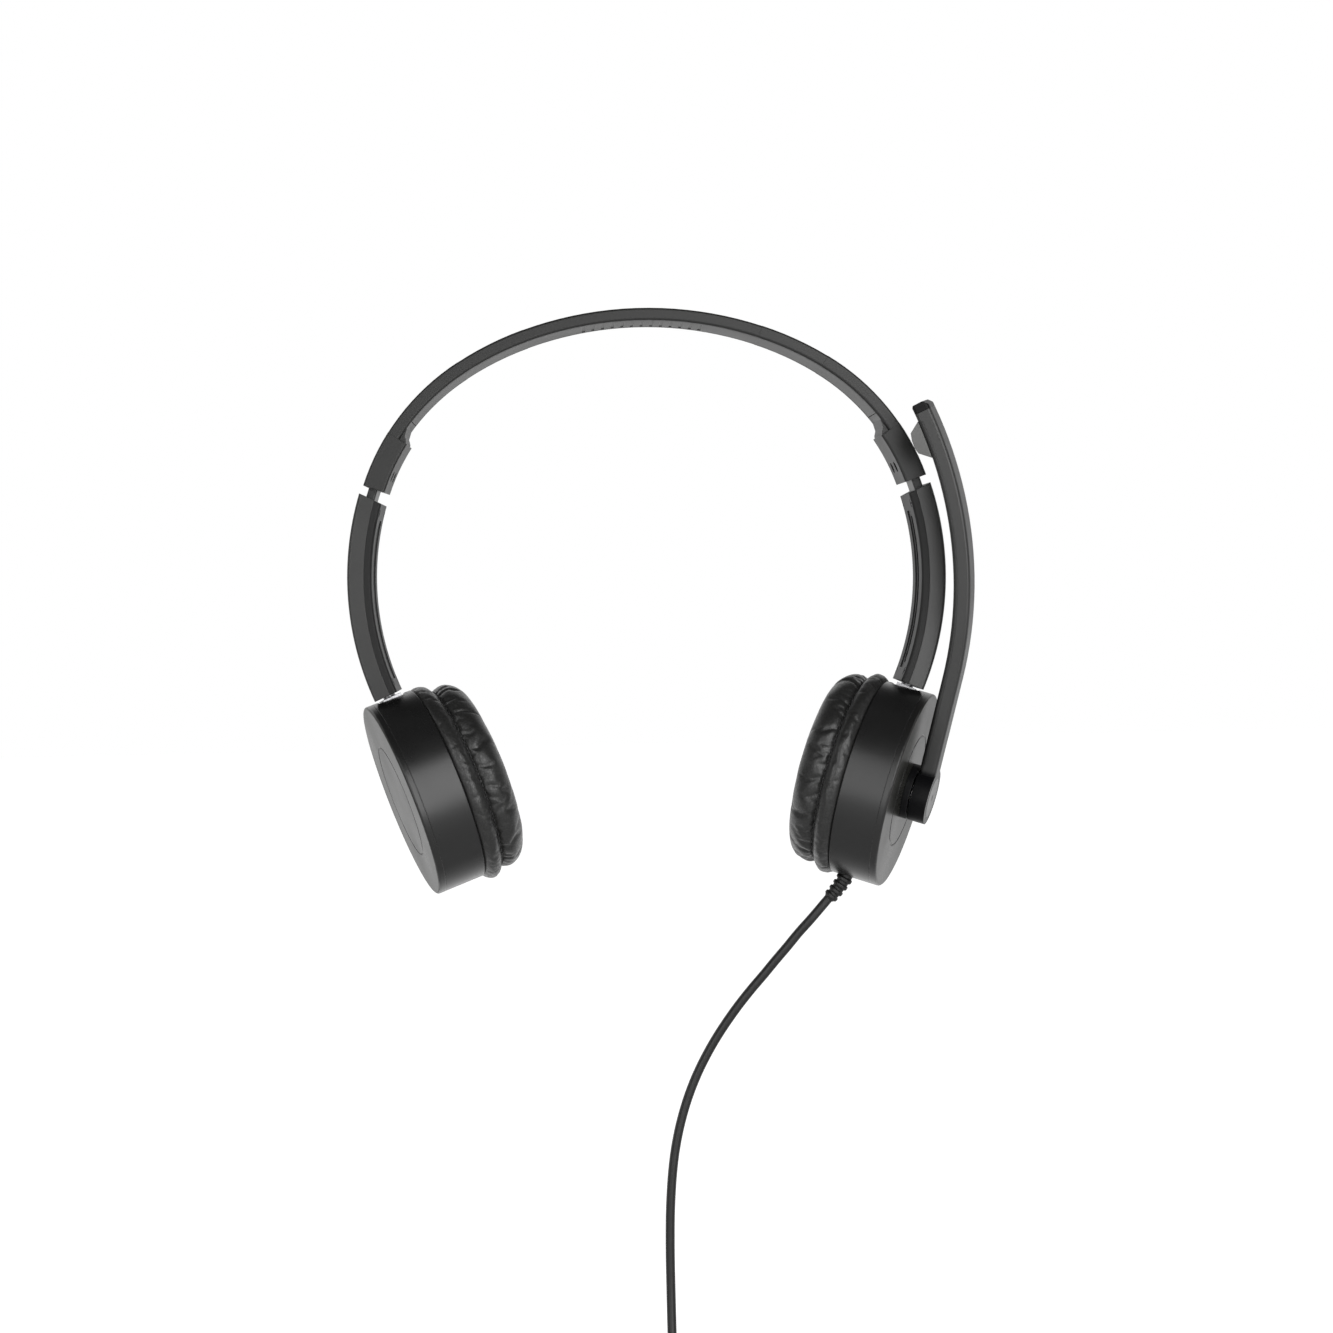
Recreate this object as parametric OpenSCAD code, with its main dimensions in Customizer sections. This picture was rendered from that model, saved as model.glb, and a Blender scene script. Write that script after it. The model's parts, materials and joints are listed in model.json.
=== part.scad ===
// On-ear stereo headset with a swing-up microphone boom.
// Frame: origin at the crown, on the inner face of the band, mid-depth.
// +Z up, +X towards the boom side, the wearer faces -Y. Millimetres.

/* [Headband] */
// Depth of the band, front to back
band_w = 20; // [18:0.5:24]
// Thickness of the band at the crown
band_t = 3.8; // [3.4:0.1:4.2]
// Outer radius of the crown arc
crown_r = 112; // [108:1:118]
// Outer radius of the shoulder arcs
shoulder_r = 96; // [92:1:100]
// Outer radius of the end housings
end_r = 70.5; // [68:0.5:74]
// Thickness of the end housings
end_t = 6.6; // [6.2:0.1:7]

/* [Adjusting arms] */
// Outer radius of the arm
arm_ro = 90.5; // [90:0.1:91]
// Inner radius of the arm
arm_ri = 83; // [82.8:0.1:83.2]
// Thickness of the arm's inner cover
cover_t = 2.4; // [2.2:0.1:2.5]
// Width of the slot in the inner cover
slot_w = 3.2; // [3:0.1:4]

/* [Ear cups] */
// Radius of the ear cup housing
cup_r = 30.8; // [30.4:0.1:31.2]
// Length of the housing along its axis
cup_l = 14.9; // [14:0.1:16]
// Wall of the housing
cup_wall = 2; // [1.6:0.1:2.4]
// Radius of the ear cushion
cushion_r = 29.8; // [29:0.1:31]
// Radius of the opening in the ear cushion
ear_r = 13.5; // [12:0.5:15]
// Inward turn of the left cup's front edge
toe_l = 13; // [5:1:20]
// Inward turn of the right cup's front edge
toe_r = 18; // [5:1:20]
// Left cup's angle against its arm
lean_l = 4; // [2:0.5:7]
// Right cup's angle against its arm
lean_r = 6.5; // [4:0.5:7]

/* [Microphone boom] */
// Angle of the stowed boom, forwards of the band
stow = 16; // [14:1:22]
// Width of the boom
boom_w = 8.6; // [7:0.2:10]
// Thickness of the boom
boom_t = 5.2; // [4.6:0.1:5.4]
// Radius of the boom's hub
hub_r = 8.6; // [8.2:0.1:9.4]

/* [Cord] */
// Diameter of the cord
cord_d = 2.9; // [2.6:0.1:3]

/* [Hidden] */
$fn = 96;
// crown and shoulder arcs: centres and joining angles from the vertical
a1 = 20;
a2 = 33;
a3 = 71.1;
c0 = [0, band_t - crown_r];
c1 = c0 + (crown_r - shoulder_r) * [sin(a1), cos(a1)];
c2 = c1 + (shoulder_r - end_r) * [sin(a2), cos(a2)];
// arm arc: centre
ac = [1.2, -78.5];
// each arc of the band is this much larger than the one before
lap = 0.1;
// arm's top and bottom angles above the horizontal
arm_top = 17.1;
arm_bot = -23.8;
rail_end = -16;
// slant of the arm's top edge against its radius
top_slant = 10;
// swivel axis at the arm's lower end
sw_r = 86.7;
sw_a = -24;
sw = ac + sw_r * [cos(sw_a), sin(sw_a)];
pin_drop = 8.2;
pin_z = 23.2;
// tilt pin: distance inboard of the cup's middle, and outboard of the swivel
pin_x_l = 1.6;
pin_x_r = 2.2;
pin_out_l = 0;
pin_out_r = 0.6;
half = cup_l / 2;
post_r = 23.4;
cord_r = cord_d / 2;
// route of the hanging cord, from inside the strain relief to the hank
route = [
  [55.33, -1.1, -178.44], [54.39, -0.95, -179.37], [49.04, -0.8, -185.4],
  [44.81, 0, -190.1], [41.24, 0.6, -194.4], [37.6, 1.1, -198.6], [34, 1.6, -202.9],
  [30, 2.1, -207.5], [26.1, 2.6, -212.3], [22.4, 3, -217.3], [18.9, 3.4, -222.5],
  [15.7, 3.7, -227.9], [12.8, 3.9, -233.5], [10.3, 4, -239.3], [8.2, 4, -245.3],
  [6.5, 4, -251.5], [5.2, 4, -257.8], [4.3, 4, -264.3], [3.7, 4, -270.9],
  [3.3, 4, -277.6], [3.1, 4, -284.3], [3, 4, -291.3], [3, 3.9, -298.3],
  [3, 3.4, -305.3], [3, 2.5, -312.3], [3, 1.4, -319.3], [3, 0.4, -326.3],
  [3, -0.2, -333.3], [3, -0.4, -340.3], [3, -0.4, -345.3]
];
tail = [[3, 8.4, -401.3], [3, 8.4, -407.3], [3, 8.4, -413.3], [3, 8.4, -419.3], [3, 8.4, -426.3]];
hank_top = -327.3;
hank_h = 91;
hank_w = 36;
hank_t = 12;
hank_x = 19.5;
plug_top = -426.3;

// ---------- helpers ----------

// rectangle with round corners, centred
module rrect(w, h, r) {
  union() {
    square([w - 2 * r, h], center = true);
    square([w, h - 2 * r], center = true);
    for (sx = [-1, 1], sy = [-1, 1])
      translate([sx * (w / 2 - r), sy * (h / 2 - r)]) circle(r);
  }
}

// arc of a swept section about an axis along Y; section is centred at
// radius r, angles are measured above +X in the XZ plane
module arc(c, r, from, to) {
  translate([c[0], 0, c[1]]) rotate([90, 0, 0]) rotate([0, 0, from])
    rotate_extrude(angle = to - from, $fn = 360) translate([r, 0]) children();
}

// the five arcs of the band as round-edged bars, dt inside the outer face;
// each bar laps the one before by la degrees and is a hair larger than it
module band_arcs(dt, stop, t, w, r, la = 1) {
  arc(c0, crown_r - dt, 90 - a1, 90 + a1) bar(t, w, r);
  for (m = [0, 1]) mirror([m, 0, 0]) {
    arc(c1, shoulder_r - dt, 90 - a2, 90 + la - a1) bar(t + lap, w + lap, r);
    arc(c2, end_r - dt, 90 - stop, 90 + la - a2) bar(t + 2 * lap, w + 2 * lap, r);
  }
}

module bar(t, w, r) {
  if (r > 0) rrect(t, w, r);
  else square([t, w], center = true);
}

module left() { mirror([1, 0, 0]) children(); }

// frame of the swivel axis at the arm's end, local +Z up the axis
module at_swivel() {
  translate([sw[0], 0, sw[1]]) rotate([0, -sw_a, 0]) children();
}

module at_neck(toe) { at_swivel() rotate([0, 0, -toe]) children(); }

// frame of the cup: origin at the middle of the housing, +X outwards
module at_cup(toe, lean, out, px) {
  at_neck(toe) translate([out, 0, -pin_drop]) rotate([0, -lean, 0])
    translate([px, 0, -pin_z]) children();
}
module cup_at_r() at_cup(toe_r, lean_r, pin_out_r, pin_x_r) children();
module cup_at_l() left() at_cup(toe_l, lean_l, pin_out_l, pin_x_l) children();

// turned parts of the cup: profile in (radius, axial) with +axial outwards
module turned() { rotate([0, 90, 0]) rotate_extrude() children(); }

// ---------- headband ----------

module headband_frame() color([0.13, 0.13, 0.13]) {
  difference() {
    union() {
      band_arcs(band_t / 2, 57, band_t, band_w, 0.8);
      for (m = [0, 1]) mirror([m, 0, 0]) {
        arc(c2, end_r - end_t / 2, 90 - a3, 33.4) rrect(end_t + 0.3, band_w + 0.3, 0.8);
        // ramp of the shoulder
        translate([c2[0], 0, c2[1]]) rotate([90, 0, 0])
          linear_extrude(band_w - 1.6, center = true)
            polygon([
              [67.2 * cos(38), 67.2 * sin(38)],
              [66.66 * cos(37.2), 66.66 * sin(37.2)],
              [65.8 * cos(35), 65.8 * sin(35)],
              [64.6 * cos(34), 64.6 * sin(34)],
              [63.85 * cos(32.6), 63.85 * sin(32.6)],
              [68.6 * cos(32.6), 68.6 * sin(32.6)]]);
      }
    }
    // channel for the liner and the spring
    band_arcs(band_t - 1.15, 51, 2.4, 16.6, 0, 1.7);
    // pocket for each slider rail, and the hole of its screw
    for (m = [0, 1]) mirror([m, 0, 0]) {
      arc(ac, 87.1, 19, 26) square([2.8, 12], center = true);
      for (sy = [-1, 1]) rail_screw_at(sy) {
        translate([0, 0, -5]) cylinder(h = 7, r = 0.9);
        translate([0, 0, -5]) cylinder(h = 2.55, r = 1.7);
      }
    }
  }
}

// screw axes of the rail: local +Z outwards through the housing
module rail_screw_at(sy) {
  translate([ac[0], 0, ac[1]]) rotate([0, -23, 0])
    translate([87.1, sy * 3.4, 0]) rotate([0, 90, 0]) children();
}

module headband_liner() color([0.2, 0.2, 0.2])
  difference() {
    band_arcs(band_t - 0.7, 50.8, 1.4, 16.3, 0.3);
    // shallow grip grooves across the crown
    for (i = [-6:6]) arc(c0, crown_r - band_t, 90 + i * 1.6 - 0.25, 90 + i * 1.6 + 0.25)
      square([0.5, 14], center = true);
  }

module spring_band() color([0.6, 0.6, 0.62])
  band_arcs(band_t - 1.9, 48.6, 0.5, 12, 0);

module slider_rail() color([0.1, 0.1, 0.1])
  difference() {
    union() {
      arc(ac, 87.1, rail_end, 26) rrect(2.8, 12, 0.6);
      // stop stud that runs in the slot of the cover
      translate([ac[0], 0, ac[1]]) rotate([0, 16.6, 0]) translate([84.3, 0, 0])
        rotate([0, 90, 0]) cylinder(h = 2.4, r = 1.2);
    }
    // notches for the detent, along the rear edge
    for (i = [0:13]) translate([ac[0], 0, ac[1]]) rotate([0, -(12.5 - i * 2), 0])
      translate([84, 6.3, 0]) rotate([0, 90, 0]) cylinder(h = 6, r = 0.8);
    for (sy = [-1, 1]) rail_screw_at(sy) translate([0, 0, -4]) cylinder(h = 5, r = 0.9);
  }

module slider_rail_r() slider_rail();
module slider_rail_l() left() slider_rail();

// a pan-head screw along +Z, head at the bottom, with a cross recess
module screw(r, l, hr, hh) difference() {
  union() {
    cylinder(h = hh, r = hr);
    translate([0, 0, hh - 0.01]) cylinder(h = l, r = r);
  }
  for (a = [0, 90]) rotate([0, 0, a])
    translate([-hr * 0.6, -0.2, -0.01]) cube([hr * 1.2, 0.4, hh * 0.6]);
}

module band_screws() color([0.25, 0.25, 0.26])
  for (m = [0, 1], sy = [-1, 1]) mirror([m, 0, 0])
    rail_screw_at(sy) translate([0, 0, -3.6]) screw(0.88, 3.3, 1.6, 1.1);

// ---------- adjusting arm ----------

module arm_axis_cut() at_swivel() {
  translate([0, 0, -1]) cylinder(h = 9.4, r = 2);
  translate([0, 0, 4.6]) cylinder(h = 1.6, r = 2.75);
}

module arm_top_cut() translate([ac[0], 0, ac[1]]) rotate([0, -arm_top, 0])
  translate([(arm_ro + arm_ri) / 2, 0, 0]) rotate([0, -top_slant, 0])
    translate([-10, -15, 0]) cube([20, 30, 8]);

module arm_shell() color([0.13, 0.13, 0.13])
  difference() {
    arc(ac, (arm_ro + arm_ri) / 2, arm_bot, arm_top + 1) rrect(arm_ro - arm_ri, band_w, 0.9);
    arm_top_cut();
    // the half taken by the cover
    arc(ac, arm_ri + cover_t / 2 - 1, arm_bot - 1, arm_top + 2)
      square([cover_t + 2, band_w + 2], center = true);
    // channel for the rail
    arc(ac, 87.1, -20, arm_top + 2) square([3.42, 12.6], center = true);
    // pocket for the detent spring
    arc(ac, 87.1, 3, 14) translate([0, -7.3]) square([3.42, 2.6], center = true);
    arm_axis_cut();
    for (a = [14.6, -21.6], sy = [-1, 1]) arm_screw_at(a, sy) cylinder(h = 4.6, r = 0.7);
  }

module arm_screw_at(a, sy) translate([ac[0], 0, ac[1]]) rotate([0, -a, 0])
  translate([arm_ri, sy * 8, 0]) rotate([0, 90, 0]) children();

module arm_cover() color([0.15, 0.15, 0.15])
  difference() {
    intersection() {
      arc(ac, (arm_ro + arm_ri) / 2, arm_bot, arm_top + 1) rrect(arm_ro - arm_ri, band_w, 0.9);
      arc(ac, arm_ri + cover_t / 2, arm_bot - 1, arm_top + 2)
        square([cover_t, band_w + 2], center = true);
    }
    arm_top_cut();
    // slot with round ends
    arc(ac, arm_ri + cover_t / 2, -19.8 + 1.06, 12 - 1.06)
      square([cover_t + 1, slot_w], center = true);
    for (a = [-19.8 + 1.06, 12 - 1.06]) translate([ac[0], 0, ac[1]]) rotate([0, -a, 0])
      translate([arm_ri - 1, 0, 0]) rotate([0, 90, 0]) cylinder(h = cover_t + 2, r = slot_w / 2);
    // shallow recess around the slot
    arc(ac, arm_ri, -21, 13.2) square([0.8, 7.4], center = true);
    arm_axis_cut();
    for (a = [14.6, -21.6], sy = [-1, 1]) arm_screw_at(a, sy) {
      translate([0, 0, -1]) cylinder(h = 4, r = 0.75);
      translate([0, 0, -1]) cylinder(h = 1.9, r = 1.25);
    }
  }

module arm_detent() color([0.6, 0.6, 0.62])
  union() {
    difference() {
      arc(ac, 87.1, 3.3, 13.7) translate([0, -7.6]) square([2.4, 1.6], center = true);
      arc(ac, 87.1, 4, 13) translate([0, -7.2]) square([3, 1.4], center = true);
    }
    translate([ac[0], 0, ac[1]]) rotate([0, -8.5, 0])
      translate([86.1, 7.5, 0]) rotate([0, 90, 0]) cylinder(h = 2, r = 0.7);
  }

module arm_screws() color([0.25, 0.25, 0.26])
  for (a = [14.6, -21.6], sy = [-1, 1]) arm_screw_at(a, sy)
    translate([0, 0, 0.1]) screw(0.68, 3.2, 1.15, 0.8);

module arm_shell_r() arm_shell();
module arm_shell_l() left() arm_shell();
module arm_cover_r() arm_cover();
module arm_cover_l() left() arm_cover();
module arm_detent_r() arm_detent();
module arm_detent_l() left() arm_detent();
module arm_screws_r() arm_screws();
module arm_screws_l() left() arm_screws();

// ---------- pivot neck ----------

module pivot_neck(toe, out) color([0.72, 0.72, 0.73]) at_neck(toe)
  difference() {
    union() {
      translate([0, 0, -0.35]) cylinder(h = 7.9, r = 1.93);
      // blade with a round eye at its lower end
      translate([out - 3, -5, -pin_drop]) cube([6, 10, pin_drop - 0.35]);
      translate([out, 5, -pin_drop]) rotate([90, 0, 0]) cylinder(h = 10, r = 3);
    }
    // groove of the clip
    translate([0, 0, 4.9]) difference() {
      cylinder(h = 0.8, r = 2.5);
      translate([0, 0, -0.1]) cylinder(h = 1, r = 1.5);
    }
    translate([out, 6, -pin_drop]) rotate([90, 0, 0]) cylinder(h = 12, r = 1.28);
    // window for the wires
    translate([-5, -2, -5.4]) cube([10, 4, 2.6]);
  }

module neck_clip(toe) color([0.5, 0.5, 0.52]) at_neck(toe) translate([0, 0, 5])
  difference() {
    cylinder(h = 0.6, r = 2.5);
    translate([0, 0, -0.1]) cylinder(h = 0.8, r = 1.55);
    translate([-0.7, 0, -0.1]) cube([1.4, 3, 0.8]);
  }

module pivot_neck_r() pivot_neck(toe_r, pin_out_r);
module pivot_neck_l() left() pivot_neck(toe_l, pin_out_l);
module neck_clip_r() neck_clip(toe_r);
module neck_clip_l() left() neck_clip(toe_l);

// ---------- ear cup ----------

module pin_boss(px, sy) translate([-px, sy * 7, pin_z]) rotate([90, 0, 0])
  cylinder(h = 3.2, r = 2.8, center = true);

module cup_housing(px, cable) color([0.11, 0.11, 0.11])
  difference() {
    union() {
      difference() {
        turned() translate([0, -half])
          difference() {
            square([cup_r, cup_l - 2.2]);
            translate([-1, -1]) square([cup_r - cup_wall + 1, cup_l]);
          }
        // step that seats the baffle
        translate([-half - 0.01, 0, 0]) rotate([0, 90, 0]) cylinder(h = 1.61, r = cup_r - 1.4);
      }
      // bosses of the tilt pin, tied to the wall
      intersection() {
        union() for (sy = [-1, 1]) {
          pin_boss(px, sy);
          translate([-px - 2.8, sy * 7 - 1.6, pin_z]) cube([5.6, 3.2, 6.4]);
        }
        translate([-half, 0, 0]) rotate([0, 90, 0]) cylinder(h = cup_l, r = cup_r - 0.5);
      }
      // screw posts
      for (a = [90, 210, 330]) rotate([a, 0, 0]) {
        translate([-half + 2.2, 0, post_r]) rotate([0, 90, 0]) cylinder(h = cup_l - 5, r = 2);
        translate([-half + 2.2, -0.7, post_r]) cube([cup_l - 6.7, 1.4, cup_r - 1.7 - post_r]);
      }
    }
    // slot in which the neck rocks
    translate([-px - 4.2, -5.4, pin_z - 4]) cube([9.1, 10.8, 12]);
    translate([-px, 0, pin_z]) rotate([90, 0, 0]) cylinder(h = 24, r = 1.2, center = true);
    for (a = [90, 210, 330]) rotate([a, 0, 0]) translate([-half + 1, 0, post_r])
      rotate([0, 90, 0]) cylinder(h = 9, r = 0.8);
    if (cable) translate([-3.5, 0, -cup_r + 4]) rotate([180, 0, 0]) cylinder(h = 6, r = 2.9);
  }

module cup_cap(hub) color([0.16, 0.16, 0.16])
  difference() {
    turned() translate([0, half])
      difference() {
        union() {
          translate([0, -2.2]) square([cup_r - 0.7, 2.2]);
          translate([0, -2.2]) square([cup_r, 1.5]);
          translate([cup_r - 0.7, -0.7]) circle(0.7);
          // spigot inside the housing
          translate([cup_r - cup_wall - 1.55, -4.2]) square([1.45, 2.4]);
        }
        // concentric ring line
        translate([17.6, 0]) circle(0.35);
      }
    if (hub) translate([half - 3, 0, 0]) rotate([0, 90, 0]) cylinder(h = 4, r = 3.2);
  }

module cup_baffle() color([0.1, 0.1, 0.1])
  difference() {
    turned() translate([0, -half]) union() {
      translate([0, -0.4]) square([cup_r - 1.6, 1.9]);
      // rim over which the cushion is stretched
      translate([25.4, -5.2]) square([1.6, 5.2]);
      translate([25.4, -5.2]) square([2.4, 1.2]);
      // seat ring of the driver
      translate([19.9, 1.4]) square([1.2, 1.4]);
    }
    // sound holes
    for (i = [0:5]) rotate([i * 60, 0, 0]) translate([-half - 1, 0, 7]) rotate([0, 90, 0])
      cylinder(h = 4, r = 1.6);
    for (i = [0:11]) rotate([i * 30 + 15, 0, 0]) translate([-half - 1, 0, 12.4])
      rotate([0, 90, 0]) cylinder(h = 4, r = 1.5);
    translate([-half - 1, 0, 0]) rotate([0, 90, 0]) cylinder(h = 4, r = 2);
    for (a = [90, 210, 330]) rotate([a, 0, 0]) translate([-half - 1, 0, post_r])
      rotate([0, 90, 0]) {
        cylinder(h = 4, r = 0.9);
        cylinder(h = 1.75, r = 1.7);
      }
  }

module driver_frame() color([0.2, 0.2, 0.2])
  turned() translate([0, -half + 1.5]) difference() {
    union() {
      square([19.5, 3.4]);
      square([11, 5.4]);
    }
    translate([-1, -0.1]) square([18.7, 2.4]);
    translate([-1, 2]) square([9.1, 4]);
  }

module driver_magnet() color([0.45, 0.45, 0.47])
  turned() translate([0, -half + 4.2]) difference() {
    square([7.9, 4.2]);
    translate([0, -0.1]) square([1.5, 5]);
  }

module driver_cone() color([0.75, 0.72, 0.6])
  turned() translate([0, -half + 1.6]) union() {
    difference() {
      translate([0, -8.6]) circle(10);
      translate([0, -8.6]) circle(9.8);
      translate([-20, -20]) square([40, 20.2]);
      translate([-20, -20]) square([20, 40]);
    }
    translate([4.2, 0.4]) square([13.4, 0.2]);
  }

// soft ring: a stretched skirt over the rim and a padded lobe
module ear_cushion() color([0.08, 0.08, 0.08])
  turned() translate([0, -half]) difference() {
    union() {
      translate([29, -3.15]) rrect(4.6, 5.1, 2.2);
      translate([(cushion_r + ear_r) / 2, -10.7]) rrect(cushion_r - ear_r, 10.4, 4.9);
      translate([24, -7.5]) square([4.6, 2.2]);
    }
    translate([24, -5.3]) square([4, 5.4]);
    translate([0, -5.5]) square([25, 5.6]);
  }

module ear_scrim() color([0.12, 0.12, 0.13])
  translate([-half - 5.2, 0, 0]) rotate([0, 90, 0]) cylinder(h = 0.8, r = 25.2);

module tilt_pin(px) color([0.7, 0.7, 0.72])
  translate([-px, 0, pin_z]) rotate([90, 0, 0]) cylinder(h = 17.6, r = 1.2, center = true);

module cup_screws() color([0.25, 0.25, 0.26])
  for (a = [90, 210, 330]) rotate([a, 0, 0]) translate([-half - 0.15, 0, post_r])
    rotate([0, 90, 0]) screw(0.78, 6, 1.5, 0.9);

module cup_housing_r() cup_at_r() cup_housing(pin_x_r, true);
module cup_housing_l() cup_at_l() cup_housing(pin_x_l, false);
module cup_cap_r() cup_at_r() cup_cap(true);
module cup_cap_l() cup_at_l() cup_cap(false);
module cup_baffle_r() cup_at_r() cup_baffle();
module cup_baffle_l() cup_at_l() cup_baffle();
module driver_frame_r() cup_at_r() driver_frame();
module driver_frame_l() cup_at_l() driver_frame();
module driver_magnet_r() cup_at_r() driver_magnet();
module driver_magnet_l() cup_at_l() driver_magnet();
module driver_cone_r() cup_at_r() driver_cone();
module driver_cone_l() cup_at_l() driver_cone();
module ear_cushion_r() cup_at_r() ear_cushion();
module ear_cushion_l() cup_at_l() ear_cushion();
module ear_scrim_r() cup_at_r() ear_scrim();
module ear_scrim_l() cup_at_l() ear_scrim();
module tilt_pin_r() cup_at_r() tilt_pin(pin_x_r);
module tilt_pin_l() cup_at_l() tilt_pin(pin_x_l);
module cup_screws_r() cup_at_r() cup_screws();
module cup_screws_l() cup_at_l() cup_screws();

// ribbed sleeve that bends with the cord, towards the ear side
module sr_arc(from, to) translate([-3.5, 0, -cup_r + 0.4]) rotate([0, 12, 0])
  translate([-29.44, 0, 0]) rotate([90, 0, 0]) rotate([0, 0, -to])
  rotate_extrude(angle = to - from) translate([29.44, 0]) children();

module strain_relief() color([0.09, 0.09, 0.09]) cup_at_r()
  difference() {
    union() {
      translate([-3.5, 0, -cup_r + 0.4]) cylinder(h = 3.4, r = 2.8);
      translate([-3.5, 0, -cup_r + 2.6]) cylinder(h = 1.6, r = 3.6);
      sr_arc(-2, 18) circle(2);
      for (i = [0:3]) sr_arc(2.2 + i * 4.4, 4.85 + i * 4.4) circle(2.55);
    }
    // flat that clears the baffle
    translate([-8, -5, -cup_r + 1.3]) cube([2.5, 10, 4.7]);
    sr_arc(13.2, 18.4) circle(cord_r);
  }

module audio_board() color([0.05, 0.3, 0.15]) cup_at_r()
  union() {
    translate([1.2, -9, -17]) cube([1, 18, 15]);
    translate([2.2, -4, -13]) cube([1, 5, 5]);
    translate([2.2, 3, -14]) cube([0.8, 3, 2]);
  }

// ---------- microphone boom ----------

// hub frame: origin on the cap's outer face, +X outwards, +Z up the boom
module at_hub() cup_at_r() translate([half, 0, 0]) rotate([stow, 0, 0]) children();

module hub_base() color([0.1, 0.1, 0.1]) at_hub()
  difference() {
    rotate([0, 90, 0]) union() {
      translate([0, 0, 0.02]) cylinder(h = 2.1, r = hub_r);
      translate([0, 0, -2.4]) cylinder(h = 7.7, r = 3.1);
    }
    rotate([0, 90, 0]) translate([0, 0, -3]) cylinder(h = 12, r = 1);
    // wire slot
    rotate([0, 90, 0]) translate([4.2, -1, -1]) cube([2.6, 2, 6]);
  }

boom_x0 = 2.6;
boom_bend = 122.2;
boom_z1 = 38.5;
boom_end = 40.4;
tip_from = 39.1;

// sweep along the boom: straight, then curving towards the head
module boom_sweep(z0, to) {
  translate([boom_x0 + boom_t / 2, 0, z0]) linear_extrude(boom_z1 - z0) rotate([0, 0, 0]) children();
  translate([boom_x0 + boom_t / 2 - boom_bend, 0, boom_z1]) rotate([90, 0, 0])
    rotate_extrude(angle = to, $fn = 360) translate([boom_bend, 0]) children();
}

module boom_arm() color([0.15, 0.15, 0.15]) at_hub()
  difference() {
    union() {
      rotate([0, 90, 0]) translate([0, 0, boom_x0]) cylinder(h = boom_t, r = hub_r);
      boom_sweep(0, tip_from) rrect(boom_t, boom_w, 1.2);
    }
    // the back half is a separate strip
    boom_sweep(hub_r + 2, boom_end - 2.6) translate([-boom_t / 2, 0]) square([3, boom_w + 1], center = true);
    rotate([0, 90, 0]) translate([0, 0, boom_x0 - 1]) cylinder(h = boom_t, r = 3.18);
    rotate([0, 90, 0]) translate([0, 0, boom_x0 + 3]) cylinder(h = 3, r = 6.2);
  }

module boom_back() color([0.12, 0.12, 0.12]) at_hub()
  intersection() {
    boom_sweep(0, boom_end - 2.6) rrect(boom_t, boom_w, 1.2);
    boom_sweep(hub_r + 2, boom_end - 2.6) translate([-boom_t / 2, 0]) square([3, boom_w + 1], center = true);
  }

module boom_cap() color([0.17, 0.17, 0.17]) at_hub()
  difference() {
    rotate([0, 90, 0]) translate([0, 0, boom_x0 + 3.05]) cylinder(h = boom_t - 3, r = 6.15);
    rotate([0, 90, 0]) translate([0, 0, boom_x0 + boom_t + 3.85]) sphere(r = 4);
  }

// frame at the boom's tip: +X outwards, +Z along the boom
module at_tip(a) at_hub() translate([boom_x0 + boom_t / 2 - boom_bend, 0, boom_z1])
  rotate([0, -a, 0]) translate([boom_bend, 0, 0]) children();

// end cap of the boom, with bevelled edges
module boom_tip() color([0.08, 0.08, 0.08]) at_hub()
  difference() {
    translate([boom_x0 + boom_t / 2 - boom_bend, 0, boom_z1]) rotate([90, 0, 0])
      rotate([0, 0, tip_from]) rotate_extrude(angle = boom_end - tip_from, $fn = 360)
        translate([boom_bend, 0]) rrect(boom_t, boom_w, 1.2);
    translate([boom_x0 + boom_t / 2 - boom_bend, 0, boom_z1]) rotate([0, -boom_end, 0])
      translate([boom_bend, 0, 0]) {
        translate([boom_t / 2, 0, -1.5]) rotate([0, -42, 0]) translate([0, -6, 0]) cube([4, 12, 5]);
        translate([-boom_t / 2, 0, -0.8]) rotate([0, 42, 0]) translate([-4, -6, 0]) cube([4, 12, 5]);
      }
  }

module mic_pod() color([0.13, 0.13, 0.13]) at_tip(35.3)
  difference() {
    union() {
      // wedge on the inner side
      rotate([90, 0, 0]) linear_extrude(7.4, center = true)
        polygon([[-boom_t / 2 + 0.5, -6], [-boom_t / 2, -6], [-boom_t / 2 - 3.5, -3.2],
                 [-boom_t / 2 - 4, -1.4], [-boom_t / 2 - 4, 1], [-boom_t / 2 - 3.5, 3.3],
                 [-boom_t / 2, 5.9], [-boom_t / 2 + 0.5, 5.9]]);
    }
    // fits the curve of the boom
    translate([-boom_bend, 0, 0]) rotate([90, 0, 0]) rotate([0, 0, -6])
      rotate_extrude(angle = 12, $fn = 360) translate([boom_bend - boom_t / 2, -5]) square([4, 10]);
    // seat of the capsule
    translate([-boom_t / 2 - 3.1, 0, -0.2]) rotate([0, 90, 0]) cylinder(h = 2.6, r = 2.1);
    translate([-boom_t / 2 - 4.6, -2.2, -1.2]) cube([1.7, 4.4, 2]);
  }

module mic_capsule() color([0.6, 0.6, 0.62]) at_tip(35.3)
  translate([-boom_t / 2 - 2.9, 0, -0.2]) rotate([0, 90, 0]) cylinder(h = 2.2, r = 2);

module mic_grille() color([0.05, 0.05, 0.05]) at_tip(35.3)
  difference() {
    translate([-boom_t / 2 - 3.9, -2.15, -1.15]) cube([0.6, 4.3, 1.9]);
    for (i = [-1:1]) translate([-boom_t / 2 - 5, i * 1.3 - 0.25, -0.8]) cube([3, 0.5, 1.2]);
  }

module hub_screw() color([0.3, 0.3, 0.32]) at_hub()
  rotate([0, 90, 0]) translate([0, 0, -3.6]) screw(0.98, 7.2, 2, 1.1);

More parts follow.
